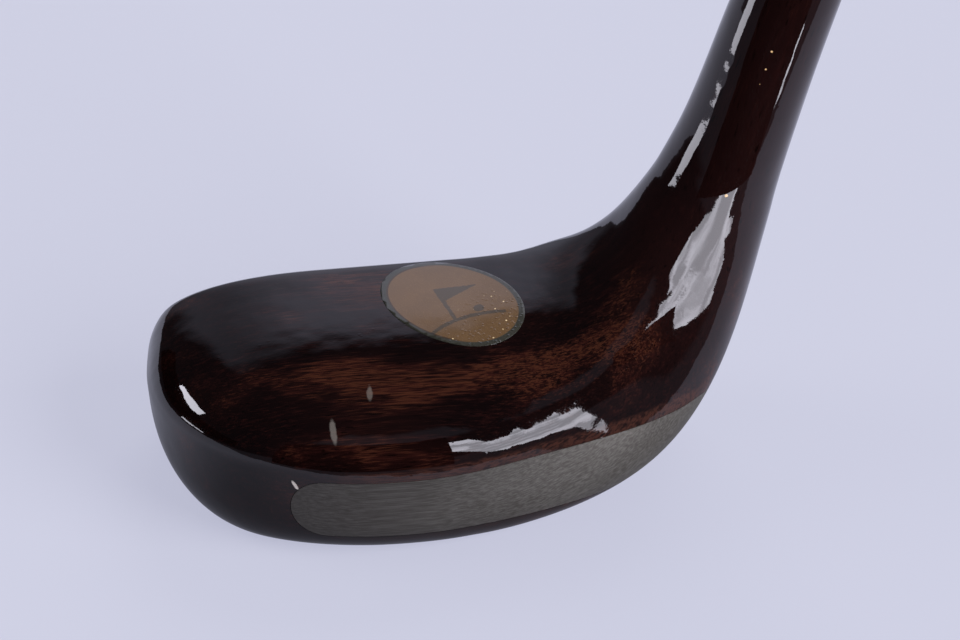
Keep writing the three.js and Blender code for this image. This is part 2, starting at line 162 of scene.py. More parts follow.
def head_ring(at, steps=64):
    """One closed section of the head, evenly spaced and softened at its corners."""
    up, down, back, face, ridge, bulge = [float(v) for v in section(at)]
    x, z, tilt = [float(v) for v in spine(at)]
    up, down = up * toe_share(at, "up"), down * toe_share(at, "down")
    ridge, bulge = ridge * toe_share(at, "back"), bulge * toe_share(at, "up")
    back, face = back * toe_share(at, "back"), face * toe_share(at, "face")
    rounding = smooth_step(at, *ROUNDING)
    top, bottom = (0, up - bulge), (0, -down - bulge)
    rear, front = (-ridge - back, 0), (face - ridge, 0)
    quarters = [
        (top, rear, "crown_back"),
        (rear, bottom, "back_sole"),
        (bottom, front, "sole_face"),
        (front, top, "face_crown"),
    ]
    angle = np.linspace(0, math.pi / 2, steps, endpoint=False)[:, None]
    ring = []
    for start, end, corner in quarters:
        power = 2 / (CORNER_POWER[corner] * (1 - rounding) + 2 * rounding)
        ring.append(np.cos(angle) ** power * np.array(start) + np.sin(angle) ** power * np.array(end))
    ring = np.vstack(ring) + (ridge, bulge)
    points = np.stack(
        [x - ring[:, 1] * math.sin(tilt), ring[:, 0], z + ring[:, 1] * math.cos(tilt)], axis=1
    )
    freed = (max(0.0, at - FACE_FREED["from"]) / FACE_FREED["scale"]) ** 2
    face_y = FACE_Y - (points[:, 2] - MID_HEIGHT) * math.tan(LOFT) + freed
    points[:, 1] = soft_min(points[:, 1], face_y, EDGE_SOFTNESS)
    points[:, 2] = -soft_min(-points[:, 2], 0, EDGE_SOFTNESS)
    return even_ring(points)


def even_ring(points):
    """The ring with RING_POINTS points at even distances, blurred along itself."""
    closed = np.vstack([points, points[:1]])
    gone = np.concatenate([[0], np.cumsum(np.linalg.norm(np.diff(closed, axis=0), axis=1))])
    places = np.linspace(0, gone[-1], RING_POINTS, endpoint=False)
    even = np.stack([np.interp(places, gone, closed[:, i]) for i in range(3)], axis=1)
    reach = int(4 * RING_SOFTENING)
    offsets = np.arange(-reach, reach + 1)
    weights = np.exp(-0.5 * (offsets / RING_SOFTENING) ** 2)
    weights /= weights.sum()
    return sum(w * np.roll(even, -k, axis=0) for w, k in zip(weights, offsets))


def grain_of(points):
    """Where points lie along the spine, across it and above it, in millimetres."""
    x, y, z = points[:, 0], points[:, 1], points[:, 2]
    centre_z = MID_HEIGHT + BEND_RADIUS
    tilt = np.arctan2(x - BEND_START, centre_z - z)
    radius = np.hypot(x - BEND_START, centre_z - z)
    bend_x = BEND_START + BEND_RADIUS * math.sin(LIE)
    bend_z = centre_z - BEND_RADIUS * math.cos(LIE)
    along = (x - bend_x) * math.cos(LIE) + (z - bend_z) * math.sin(LIE)
    beside = (z - bend_z) * math.cos(LIE) - (x - bend_x) * math.sin(LIE)
    straight = np.stack([x, y, z - MID_HEIGHT], axis=1)
    bent = np.stack([BEND_START + BEND_RADIUS * tilt, y, BEND_RADIUS - radius], axis=1)
    neck = np.stack([BEND_START + BEND_RADIUS * LIE + along, y, beside], axis=1)
    out = np.where((x < BEND_START)[:, None], straight, bent)
    return np.where(((along > 0) & (x > BEND_START))[:, None], neck, out)


# ---- meshes ----
def new_object(name, vertices, faces, scale=MM, place=Matrix()):
    """An object whose mesh is given in millimetres and moved to its place."""
    mesh = bpy.data.meshes.new(name)
    mesh.from_pydata([tuple(v) for v in np.asarray(vertices, float) * scale], [], faces)
    mesh.validate()
    mesh.update()
    moved = place.copy()
    moved.translation = place.translation * MM
    mesh.transform(moved)
    made = bpy.data.objects.new(name, mesh)
    bpy.context.scene.collection.objects.link(made)
    return made


def grid_faces(rows, columns, wrap=True, first=0):
    """Quads of a grid of vertices stored row by row, closed round each row."""
    faces = []
    for r in range(rows - 1):
        for c in range(columns if wrap else columns - 1):
            a, b = first + r * columns + c, first + r * columns + (c + 1) % columns
            faces.append((a, b, b + columns, a + columns))
    return faces


def coordinates(mesh):
    flat = np.empty(len(mesh.vertices) * 3)
    mesh.vertices.foreach_get("co", flat)
    return flat.reshape(-1, 3)


def finish_mesh(made, sharp_degrees=35):
    """Smooth shading with sharp edges kept, and positions along the grain and in plan stored."""
    mesh = made.data
    mesh.shade_smooth()
    mesh.set_sharp_from_angle(angle=math.radians(sharp_degrees))
    grain = grain_of(coordinates(mesh) / MM) * MM
    for name, values in (("grain", grain), ("plan", coordinates(mesh))):
        stored = mesh.attributes.new(name, "FLOAT_VECTOR", "POINT")
        stored.data.foreach_set("vector", values.astype(np.float32).ravel())
    return made


def combined(made, tool, operation):
    """made less tool or what they share, as a new mesh in the same object; the tool goes."""
    modifier = made.modifiers.new("cut", "BOOLEAN")
    modifier.operation = operation
    modifier.solver = "EXACT"
    modifier.object = tool
    graph = bpy.context.evaluated_depsgraph_get()
    mesh = bpy.data.meshes.new_from_object(made.evaluated_get(graph))
    made.modifiers.clear()
    old, made.data = made.data, mesh
    bpy.data.meshes.remove(old)
    discard(tool)
    return made


def copied(made, name):
    twin = made.copy()
    twin.data = made.data.copy()
    twin.name = name
    bpy.context.scene.collection.objects.link(twin)
    return twin


def discard(*objects):
    for o in objects:
        bpy.data.objects.remove(o)


def joined(name, objects):
    """One object with the meshes of several."""
    vertices, faces = [], []
    for o in objects:
        first = len(vertices)
        vertices += [tuple(v.co) for v in o.data.vertices]
        faces += [tuple(first + i for i in p.vertices) for p in o.data.polygons]
    made = new_object(name, vertices, faces, scale=1)
    discard(*objects)
    return made


def round_rings(profile, sides):
    """A ring of points about local Z for each (radius, height) pair."""
    angle = np.linspace(0, 2 * math.pi, sides, endpoint=False)
    rings = []
    for r, h in profile:
        rings.append(np.stack([r * np.cos(angle), r * np.sin(angle), np.full(sides, h)], axis=1))
    return rings


def turned(name, profile, sides=72, place=Matrix()):
    """A solid of revolution from (radius, height) pairs that start and end on the axis."""
    inner = [(r, h) for r, h in profile if r > 0]
    rings = round_rings(inner, sides)
    vertices = np.vstack(rings + [[(0, 0, profile[0][1])], [(0, 0, profile[-1][1])]])
    faces = grid_faces(len(inner), sides)
    low, high = len(vertices) - 2, len(vertices) - 1
    top = (len(inner) - 1) * sides
    faces += [(low, (i + 1) % sides, i) for i in range(sides)]
    faces += [(high, top + i, top + (i + 1) % sides) for i in range(sides)]
    return new_object(name, vertices, faces, place=place)


def turned_tube(name, profile, sides=72, place=Matrix()):
    """A ring-shaped solid of revolution from a closed profile of (radius, height) pairs."""
    vertices = np.vstack(round_rings(profile, sides))
    faces = grid_faces(len(profile), sides)
    last = (len(profile) - 1) * sides
    faces += [(last + i, last + (i + 1) % sides, (i + 1) % sides, i) for i in range(sides)]
    return new_object(name, vertices, faces, place=place)


def slab(name, outline, low, high, place):
    """A solid with an outline in local XY, from z = low to z = high."""
    n = len(outline)
    vertices = [(x, y, low) for x, y in outline] + [(x, y, high) for x, y in outline]
    faces = [tuple(reversed(range(n))), tuple(range(n, 2 * n))]
    faces += [(i, (i + 1) % n, n + (i + 1) % n, n + i) for i in range(n)]
    return new_object(name, vertices, faces, place=place)


def rounded_outline(left, right, bottom, top, corner, steps=16):
    corners = [
        (right - corner, bottom + corner, -90),
        (right - corner, top - corner, 0),
        (left + corner, top - corner, 90),
        (left + corner, bottom + corner, 180),
    ]
    points = []
    for x, y, start in corners:
        for angle in np.radians(np.linspace(start, start + 90, steps)):
            points.append((x + corner * math.cos(angle), y + corner * math.sin(angle)))
    return points


def oval_outline(steps=96):
    """The transfer's oval in plan."""
    turn = TRANSFER["turn"]
    points = []
    for angle in np.linspace(0, 2 * math.pi, steps, endpoint=False):
        a = TRANSFER["half"] * math.cos(angle)
        b = TRANSFER["half_width"] * math.sin(angle)
        x = TRANSFER["x"] + a * math.cos(turn) - b * math.sin(turn)
        points.append((x, TRANSFER["y"] + a * math.sin(turn) + b * math.cos(turn)))
    return points


def head_blank():
    """The whole outer surface of the head, before anything is let into it."""
    turns = np.linspace(0, math.pi / 2, TOE_RINGS["count"])[1:]
    near_toe = TOE + TOE_RINGS["over"] * (1 - np.cos(turns))
    rest = np.arange(near_toe[-1] + RING_SPACING, NECK_END, RING_SPACING)
    places = np.concatenate([near_toe, rest, [NECK_END]])
    rings = [head_ring(at) for at in places]
    rim_x, rim_z, _ = spine(np.array(NECK_END))
    vertices = np.vstack(rings + [[(TOE, 0, MID_HEIGHT)], [(float(rim_x), 0, float(rim_z))]])
    faces = grid_faces(len(rings), RING_POINTS)
    toe, rim = len(vertices) - 2, len(vertices) - 1
    last = (len(rings) - 1) * RING_POINTS
    for i in range(RING_POINTS):
        j = (i + 1) % RING_POINTS
        faces += [(toe, j, i), (rim, last + i, last + j)]
    return new_object("head_blank", vertices, faces)


# ---- places ----
def shaft_place():
    """Local +Z runs up the shaft's axis from where the axis meets the ground."""
    bend_x, bend_z, _ = spine(np.array(BEND_START + BEND_RADIUS * LIE))
    to_bend = float(bend_z) / math.sin(LIE)
    foot = Vector((float(bend_x) - to_bend * math.cos(LIE), 0, 0))
    return Matrix.Translation(foot) @ Matrix.Rotation(math.pi / 2 - LIE, 4, "Y"), to_bend


def face_place(x, height):
    """Local +Z leaves the face, local +Y runs up it."""
    right, up = Vector((-1, 0, 0)), Vector((0, -math.sin(LOFT), math.cos(LOFT)))
    out = right.cross(up)
    place = Matrix((right, up, out)).transposed().to_4x4()
    place.translation = (x, FACE_Y - (height - MID_HEIGHT) * math.tan(LOFT), height)
    return place


SHAFT_PLACE, TO_BEND = shaft_place()
JOINT = TO_BEND + NECK_END - BEND_START - BEND_RADIUS * LIE
GRIP_TOP = CLUB_LENGTH - GRIP_BUTT_MARGIN
GRIP_BOTTOM = GRIP_TOP - GRIP_LENGTH
LEADING_EDGE = FACE_Y + MID_HEIGHT * math.tan(LOFT)


def shaft_radius(s):
    joint, waist, grip, butt = (SHAFT[k] for k in ("joint", "waist", "grip", "butt"))
    places = [JOINT, SHAFT["waist_at"], GRIP_BOTTOM, CLUB_LENGTH]
    return np.interp(s, places, [joint, waist, grip, butt])


def neck_radius(s):
    return section(np.asarray(s) - JOINT + NECK_END)[0]


# ---- tools that cut the pockets, and shape what fills them ----
def lead_tool(blank, spare):
    left, right = LEAD["left"] - spare, LEAD["right"] + spare
    low, high = LEAD["bottom"] - spare, LEAD["top"] + spare
    outline = rounded_outline(left, right, low, high, (high - low) / 2 - 0.05, 24)
    back = Matrix(((1, 0, 0), (0, 0, -1), (0, 1, 0))).to_4x4()
    tool = slab("lead_tool", outline, 0, TOOL_REACH, back)
    inner = copied(blank, "lead_floor")
    inwards = Vector((-LEAD["heel_depth"] - spare, LEAD["depth"] + spare, 0))
    inner.data.transform(Matrix.Translation(inwards * MM))
    return combined(tool, inner, "DIFFERENCE")


def insert_tool(spare):
    half, half_width = INSERT["length"] / 2 + spare, INSERT["width"] / 2 + spare
    outline = rounded_outline(-half, half, -half_width, half_width, INSERT["corner"])
    place = face_place(INSERT["x"], INSERT["height"])
    return slab("insert_tool", outline, -INSERT["depth"] - spare, 5, place)


def slip_tool(spare):
    left, right = SLIP["from"] - spare, SLIP["to"] + spare
    below, top = -20, SLIP["height"] + spare
    outline = [(left, below), (right, below), (right, top), (left, top)]
    along_y = Matrix(((1, 0, 0), (0, 0, -1), (0, 1, 0))).to_4x4()
    back = LEADING_EDGE - SLIP["width"] - spare
    return slab("slip_tool", outline, -LEADING_EDGE - 20, -back, along_y)


def screw_places():
    across = INSERT["length"] / 2 - SCREW["inset"]
    upwards = (INSERT["width"] / 2 - SCREW["inset"]) * math.cos(LOFT)
    signs = ((-1, 1), (1, 1), (-1, -1), (1, -1))
    return [(INSERT["x"] + a * across, INSERT["height"] + b * upwards) for a, b in signs]


def screw_solid(name, place, spare, proud):
    profile = [
        (0, -SCREW["length"] - spare),
        (SCREW["stem"] + spare, -SCREW["length"] - spare),
        (SCREW["stem"] + spare, -SCREW["sunk"]),
        (SCREW["head"] + spare, -0.15),
        (SCREW["head"] + spare, proud),
        (0, proud),
    ]
    return turned(name, profile, 48, place)


def peg_solid(name, x, spare, low):
    y = LEADING_EDGE - SLIP["width"] * 0.55
    radius, top = PEG["radius"] + spare, PEG["length"]
    profile = [(0, low), (radius, low), (radius, top), (0, top)]
    return turned(name, profile, 48, Matrix.Translation((x, y, 0)))


def socket_tool():
    floor = JOINT - SOCKET_DEPTH - FIT_GAP
    profile = [
        (0, floor),
        (TENON["tip"] + FIT_GAP, floor),
        (TENON["rim"] + FIT_GAP, JOINT),
        (TENON["rim"] + FIT_GAP, JOINT + 5),
        (0, JOINT + 5),
    ]
    return turned("socket_tool", profile, 64, SHAFT_PLACE)


# ---- the head and what is let into it ----
def add_piece(made, node):
    """A finished piece that stands for a CAD node."""
    made.name = "fine_" + node
    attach(made, "root")
    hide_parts(node)
    return made


def make_head(blank):
    head = combined(copied(blank, "head"), lead_tool(blank, SEAM), "DIFFERENCE")
    pockets = joined("pockets", [insert_tool(SEAM), slip_tool(SEAM), socket_tool()])
    combined(head, pockets, "DIFFERENCE")
    return add_piece(finish_mesh(head), "head")


def make_back_weight(blank):
    weight = combined(copied(blank, "weight"), lead_tool(blank, -SEAM), "INTERSECT")
    return add_piece(finish_mesh(weight), "back_weight")


def make_insert(blank):
    insert = combined(copied(blank, "insert"), insert_tool(-SEAM), "INTERSECT")
    holes = [screw_solid("hole", face_place(*spot), SEAM, 3) for spot in screw_places()]
    combined(insert, joined("drill", holes), "DIFFERENCE")
    return add_piece(finish_mesh(insert), "face_insert")


def make_screws():
    screws = []
    for i, (x, height) in enumerate(screw_places()):
        place = face_place(x, height)
        screw = screw_solid("screw", place, 0, 0)
        turn = SCREW_SLOT["first_turn"] + i * SCREW_SLOT["turn_step"]
        half, wide = SCREW["head"] + 0.5, SCREW_SLOT["width"] / 2
        outline = []
        for a, b in ((-half, -wide), (half, -wide), (half, wide), (-half, wide)):
            across = a * math.cos(turn) - b * math.sin(turn)
            outline.append((across, a * math.sin(turn) + b * math.cos(turn)))
        slot = slab("slot", outline, -SCREW_SLOT["depth"], 1, place)
        combined(screw, slot, "DIFFERENCE")
        screws.append(add_piece(finish_mesh(screw, 25), f"insert_screw_{i + 1}"))
    return screws


def make_slip(blank):
    slip = combined(copied(blank, "slip"), slip_tool(-SEAM), "INTERSECT")
    holes = [peg_solid("hole", x, SEAM, -2) for x in PEG["at"]]
    combined(slip, joined("drill", holes), "DIFFERENCE")
    pegs = []
    for i, x in enumerate(PEG["at"]):
        peg = finish_mesh(peg_solid("peg", x, 0, 0))
        pegs.append(add_piece(peg, f"slip_peg_{i + 1}"))
    return add_piece(finish_mesh(slip), "sole_slip"), pegs


def make_transfer(blank):
    """A film that lies on the crown, cut to an oval."""
    tool = slab("oval_tool", oval_outline(), MID_HEIGHT, 60, Matrix())
    film = combined(copied(blank, "film"), tool, "INTERSECT")
    mesh = film.data
    keep = [p for p in mesh.polygons if p.normal.z > 0.6 and p.center.z > (MID_HEIGHT + 3) * MM]
    used = sorted({v for p in keep for v in p.vertices})
    renumbered = {v: i for i, v in enumerate(used)}
    top = [tuple(mesh.vertices[v].co) for v in used]
    faces = [tuple(renumbered[v] for v in p.vertices) for p in keep]
    discard(film)
    film = new_object("film", top, faces, scale=1)
    thickness = film.modifiers.new("thickness", "SOLIDIFY")
    thickness.thickness = FILM_THICKNESS * MM
    thickness.offset = 1
    return add_piece(finish_mesh(film), "crown_transfer")


# ---- shaft, bindings and grip ----
def make_shaft():
    floor = JOINT - SOCKET_DEPTH
    along = np.linspace(JOINT + 0.3, CLUB_LENGTH - 3, 160)
    butt = SHAFT["butt"]
    profile = [(0, floor), (TENON["tip"], floor), (TENON["rim"], JOINT)]
    profile += [(float(shaft_radius(s)), s) for s in along]
    for inwards, short in ((0.25, 1.9), (0.9, 1.0), (2.0, 0.35), (3.5, 0)):
        profile.append((butt - inwards, CLUB_LENGTH - short))
    profile.append((0, CLUB_LENGTH))
    shaft = turned("shaft", profile, 72, SHAFT_PLACE)
    return add_piece(finish_mesh(shaft, 50), "shaft")


def wound_thread(name, start, end, radius_at, thread, sides=8, per_turn=44):
    """One thread wound round the shaft's axis from start to end, each turn beside the last."""
    turns = int((end - start - thread) / thread)
    steps = turns * per_turn
    angle = np.linspace(0, 2 * math.pi * turns, steps + 1)
    height = start + thread / 2 + thread * angle / (2 * math.pi)
    radius = radius_at(height) + thread / 2
    slope = np.gradient(radius, height)
    out = np.stack([np.cos(angle), np.sin(angle), np.zeros_like(angle)], axis=1)
    up = np.tile([0.0, 0.0, 1.0], (len(angle), 1))
    lean = np.arctan(slope)[:, None]
    normal = out * np.cos(lean) - up * np.sin(lean)
    along = out * np.sin(lean) + up * np.cos(lean)
    centre = out * radius[:, None] + up * height[:, None]
    half = thread / 2
    rings = []
    for k in range(sides):
        turn = 2 * math.pi * k / sides
        rings.append(centre + half * (math.cos(turn) * normal + math.sin(turn) * along))
    vertices = np.stack(rings, axis=1).reshape(-1, 3)
    faces = grid_faces(len(angle), sides)
    last = steps * sides
    faces += [tuple(reversed(range(sides))), tuple(range(last, last + sides))]
    return new_object(name, vertices, faces, place=SHAFT_PLACE)


def binding_core(name, start, end, radius_at, thread):
    """What the outermost turns lie on: the turns beneath them, as one plain tube."""
    shorter = thread * CORE["shorter"]
    places = np.linspace(start + shorter, end - shorter, 40)
    outer = [(float(radius_at(s)) + thread * CORE["thick"], s) for s in places]
    inner = [(float(radius_at(s)), s) for s in places[::-1]]
    return turned_tube(name, outer + inner, 64, SHAFT_PLACE)


def neck_binding_radius(s):
    s = np.asarray(s, float)
    over = smooth_step(s, JOINT, JOINT + 0.6 * NECK_WHIPPING["above"])
    past = neck_radius(JOINT) * (1 - over) + shaft_radius(s) * over
    return np.where(s < JOINT, neck_radius(s), past) + THREAD_LIFT


def leather_bore(s):
    return shaft_radius(s) + FIT_GAP + UNDERLISTING + FIT_GAP


def grip_binding_radius(s):
    return leather_bore(s) + LEATHER + THREAD_LIFT


def make_bindings():
    made = []
    neck_low, neck_high = JOINT - NECK_WHIPPING["below"], JOINT + NECK_WHIPPING["above"]
    length, inset = GRIP_WHIPPING["length"], GRIP_WHIPPING["inset"]
    lower, upper = GRIP_BOTTOM + inset, GRIP_TOP - inset - length
    plan = [
        ("neck_whipping", neck_low, neck_high, neck_binding_radius),
        ("grip_whipping_lower", lower, lower + length, grip_binding_radius),
        ("grip_whipping_upper", upper, upper + length, grip_binding_radius),
    ]
    for node, start, end, radius_at in plan:
        wound = wound_thread(node + "_thread", start, end, radius_at, THREAD)
        core = binding_core(node + "_core", start, end, radius_at, THREAD)
        both = joined(node, [wound, core])
        made.append(add_piece(finish_mesh(both, 60), node))
    return made


def make_leather():
    """A strip wound up the shaft, each turn's edge lying over the last turn."""
    rows, columns, bore_rows = 560, 96, 8
    places = np.linspace(GRIP_BOTTOM, GRIP_TOP, rows)
    angle = np.linspace(0, 2 * math.pi, columns, endpoint=False)
    s, a = np.meshgrid(places, angle, indexing="ij")
    phase = np.mod(s / WRAP_PITCH - a / (2 * math.pi), 1.0)
    lap = WRAP_EDGE["raised"] * np.exp(-phase / WRAP_EDGE["over"])
    lap -= WRAP_EDGE["sunk"] * np.exp(-(1 - phase) / WRAP_EDGE["under"])
    # Under the bindings at its two ends the leather is flat.
    free = smooth_step(s, GRIP_BOTTOM + 17, GRIP_BOTTOM + 21)
    free = free * (1 - smooth_step(s, GRIP_TOP - 21, GRIP_TOP - 17))
    ends = np.minimum(s - GRIP_BOTTOM, GRIP_TOP - s)
    rounded = LEATHER - 0.6 * np.exp(-ends / 0.8)
    radius = leather_bore(s) + rounded + lap * free * WRAP_EDGE["share"]
    outer = np.stack([radius * np.cos(a), radius * np.sin(a), s], axis=2)
    s, a = np.meshgrid(np.linspace(GRIP_TOP, GRIP_BOTTOM, bore_rows), angle, indexing="ij")
    bore = leather_bore(s)
    inside = np.stack([bore * np.cos(a), bore * np.sin(a), s], axis=2)
    vertices = np.vstack([outer.reshape(-1, 3), inside.reshape(-1, 3)])
    faces = grid_faces(rows + bore_rows, columns)
    last = (rows + bore_rows - 1) * columns
    faces += [(last + i, last + (i + 1) % columns, (i + 1) % columns, i) for i in range(columns)]
    made = new_object("leather", vertices, faces, place=SHAFT_PLACE)
    return add_piece(finish_mesh(made, 60), "grip_leather")


def make_tacks():
    made = []
    inset = TACK["inset"]
    head, rise, stem = TACK["head"], TACK["rise"], TACK["stem"]
    outwards = Matrix.Rotation(math.pi / 2, 4, "X")
    for node, s in (("grip_tack_lower", GRIP_BOTTOM + inset), ("grip_tack_upper", GRIP_TOP - inset)):
        seat = float(leather_bore(s) + LEATHER) + TACK_LIFT
        point, rim = seat - TACK["length"], seat + TACK["rim"]
        place = SHAFT_PLACE @ Matrix.Translation((0, 0, s)) @ outwards
        profile = [(0, point), (stem, point + TACK["point"]), (stem, seat), (head - 0.1, seat)]
        profile += [(head * math.cos(t), rim + rise * math.sin(t)) for t in np.linspace(0, 1.45, 10)]
        profile.append((0, rim + rise))
        made.append(add_piece(finish_mesh(turned(node, profile, 40, place)), node))
    return made


# ---- shader graphs ----
class Wire:
    """A number or vector in a shader; arithmetic on it adds nodes."""

    def __init__(self, graph, socket):
        self.graph, self.socket = graph, socket

    def __add__(self, other):
        return self.graph.math("ADD", self, other)

    def __sub__(self, other):
        return self.graph.math("SUBTRACT", self, other)

    def __rsub__(self, other):
        return self.graph.math("SUBTRACT", other, self)

    def __mul__(self, other):
        return self.graph.math("MULTIPLY", self, other)

    def __truediv__(self, other):
        return self.graph.math("DIVIDE", self, other)

    __radd__ = __add__
    __rmul__ = __mul__


class Graph:
    """A material's or a world's nodes, and short calls that add to them."""

    def __init__(self, name, kind="Material"):
        self.kind = kind
        self.owner = (bpy.data.worlds if kind == "World" else bpy.data.materials).new(name)
        self.owner.use_nodes = True
        self.tree = self.owner.node_tree
        self.tree.nodes.clear()

    def put(self, socket, value):
        if isinstance(value, Wire):
            self.tree.links.new(value.socket, socket)
        else:
            socket.default_value = value

    def add(self, kind, inputs=None, output=0, **settings):
        node = self.tree.nodes.new("ShaderNode" + kind)
        for key, value in settings.items():
            setattr(node, key, value)
        for key, value in (inputs or {}).items():
            self.put(node.inputs[key], value)
        return Wire(self, node.outputs[output])

    def math(self, operation, a, b=0.0):
        return self.add("Math", {0: a, 1: b}, operation=operation)

    def absolute(self, a):
        return self.math("ABSOLUTE", a)

    def least(self, a, b):
        return self.math("MINIMUM", a, b)

    def most(self, a, b):
        return self.math("MAXIMUM", a, b)

    def hypot(self, a, b):
        return self.math("SQRT", a * a + b * b)

    def position(self, attribute="grain"):
        """A stored position, in millimetres."""
        return self.in_mm(self.add("Attribute", output="Vector", attribute_name=attribute))

    def place(self):
        """The place itself, in millimetres, for a mesh that stores none."""
        return self.in_mm(self.add("TexCoord", output="Object"))

    def in_mm(self, vector):
        return self.add("VectorMath", {0: vector, 3: 1 / MM}, operation="SCALE")

    def parts(self, vector):
        node = self.add("SeparateXYZ", {0: vector})
        return [Wire(self, s) for s in node.socket.node.outputs]

    def stretched(self, vector, per_mm, shift=(0, 0, 0)):
        """The vector times a count along each axis, and shifted."""
        scaled = self.add("VectorMath", {0: vector, 1: per_mm}, operation="MULTIPLY")
        return self.add("VectorMath", {0: scaled, 1: shift}, operation="ADD")

    def noise(self, vector, detail=2.0, rough=0.5, twist=0.0):
        inputs = {"Vector": vector, "Scale": 1.0, "Detail": detail}
        inputs.update({"Roughness": rough, "Distortion": twist})
        return self.add("TexNoise", inputs)

    def streaks(self, at, along, across, *settings, shift=(0, 0, 0)):
        """Noise with counts per millimetre along the grain and across it."""
        return self.noise(self.stretched(at, (along, across, across), shift), *settings)

    def cells(self, at, along, across, feature="F1", shift=(0, 0, 0)):
        """The distance from the middle of the nearest of many scattered cells."""
        vector = self.stretched(at, (along, across, across), shift)
        inputs = {"Vector": vector, "Scale": 1.0, "Randomness": 1.0}
        return self.add("TexVoronoi", inputs, output="Distance", feature=feature)

    def rise(self, value, low, high, start=0.0, end=1.0):
        """Start below low, end above high, and a smooth step between."""
        inputs = {"Value": value, "From Min": low, "From Max": high, "To Min": start, "To Max": end}
        return self.add("MapRange", inputs, interpolation_type="SMOOTHSTEP")

    def mix(self, share, a, b):
        """Colour a where share is 0, b where it is 1."""
        a, b = [(*v, 1.0) if isinstance(v, tuple) and len(v) == 3 else v for v in (a, b)]
        return self.add("Mix", {0: share, 6: a, 7: b}, output=2, data_type="RGBA")

    def bump(self, height, depth_mm, under=None):
        """A normal from a height, of which 1 stands for depth_mm."""
        inputs = {"Height": height, "Distance": depth_mm * MM, "Strength": 1.0}
        if under:
            inputs["Normal"] = under
        return self.add("Bump", inputs)

    def principled(self, **inputs):
        named = {k.replace("_", " ").title().replace("Ior", "IOR"): v for k, v in inputs.items()}
        return self.finish(self.add("BsdfPrincipled", named))

    def finish(self, shader):
        output = self.tree.nodes.new("ShaderNodeOutput" + self.kind)
        self.tree.links.new(shader.socket, output.inputs["Surface"])
        return self.owner


# Places knocked through the lacquer: centre, half width, half length, slant and how white.
NICKS = [
    ((-26.3, -40.1, 18.0), 0.45, 1.2, 0.45, 0.9),
    ((-18.7, -37.4, 27.1), 0.7, 1.5, 0.2, 0.16),
    ((-12.0, -30.4, 30.0), 0.6, 0.5, 0.0, 0.12),
]
# Painted highlight: tiny bright gold glints painted on the neck's colour, each a centre and half width.
PAINTED_GLINTS = [
    ((53.9, -10.9, 54.5), 0.36),
    ((61.8, -9.2, 82.7), 0.24),
    ((60.8, -9.3, 79.3), 0.20),
    ((59.8, -9.3, 76.4), 0.17),
]
LACQUER = {"coat_weight": 1.0, "coat_roughness": 0.035, "coat_ior": 1.5}


def lacquer_waves(g, at):
    """Brushing and dirt that leave the coat's surface slightly uneven."""
    broad = g.streaks(at, 0.16, 0.2, 1.0)
    orange_peel = g.streaks(at, 0.9, 1.3, 2.0)
    specks = g.rise(g.cells(at, 0.33, 0.4), 0.16, 0.05)
    rough = g.bump(orange_peel + specks * 0.8, 0.006)
    return g.bump(broad, 0.10, rough)


def wood_colour(g, at):
    """Stained persimmon: fine fibres along the spine in red and orange between almost black ones."""
    along, across, _ = g.parts(at)
    # Painted light: the wood is painted paler and more orange along a curved band, down the throat and
    # over the back of the crown, where the light falls; elsewhere its tone varies at random.
    wander = g.streaks(at, 0.045, 0.09, 3.0, 0.55, shift=(3, 1, 7))
    curve = (along - 5) * (along - 5) * 0.0075
    painted_lit_band = g.rise(g.absolute(across + 29.5 - curve), 9, 1)
    ends = g.rise(along, -60, -5) * g.rise(along, 56, 36)
    tone_and_painted_light = g.rise(wander + painted_lit_band * ends * 0.24, 0.50, 0.80)
    # Three sizes of fibre.
    long_fibre = g.streaks(at, 0.045, 0.9, 3.0, 0.6, 0.3)
    fibre = g.streaks(at, 0.15, 2.4, 2.0, 0.6, shift=(5, 0, 0))
    fleck = g.streaks(at, 0.28, 4.4, 1.0, 0.5, shift=(0, 9, 0))
    light = g.rise(long_fibre * 0.40 + fibre * 0.35 + fleck * 0.25 + tone_and_painted_light * 0.12, 0.47, 0.72)
    dark_tone = g.mix(g.rise(wander, 0.35, 0.7), (0.0030, 0.0012, 0.0013), (0.0062, 0.0020, 0.0019))
    red_tone = g.mix(tone_and_painted_light, (0.0150, 0.0038, 0.0034), (0.028, 0.0068, 0.0050))
    stain_and_painted_light = g.mix(light, dark_tone, red_tone)
    # The neck is stained redder, so that its dark fibres are lighter too.
    stain_and_painted_light = g.mix(g.rise(along, 30, 62) * 0.55, stain_and_painted_light, (0.0135, 0.0042, 0.0040))
    bright = g.rise(fleck * 0.5 + fibre * 0.5 + tone_and_painted_light * 0.14, 0.58, 0.74)
    stain_and_painted_light = g.mix(bright * (0.10 + tone_and_painted_light * 0.46), stain_and_painted_light, (0.062, 0.0205, 0.0100))
    pores = g.rise(g.streaks(at, 0.28, 2.6, 1.0, shift=(0, 0, 4)), 0.66, 0.72)
    stain_and_painted_light = g.mix(pores * 0.8, stain_and_painted_light, (0.0012, 0.0006, 0.0006))
    return wear_and_painted_glints(g, at, stain_and_painted_light, fibre), fibre


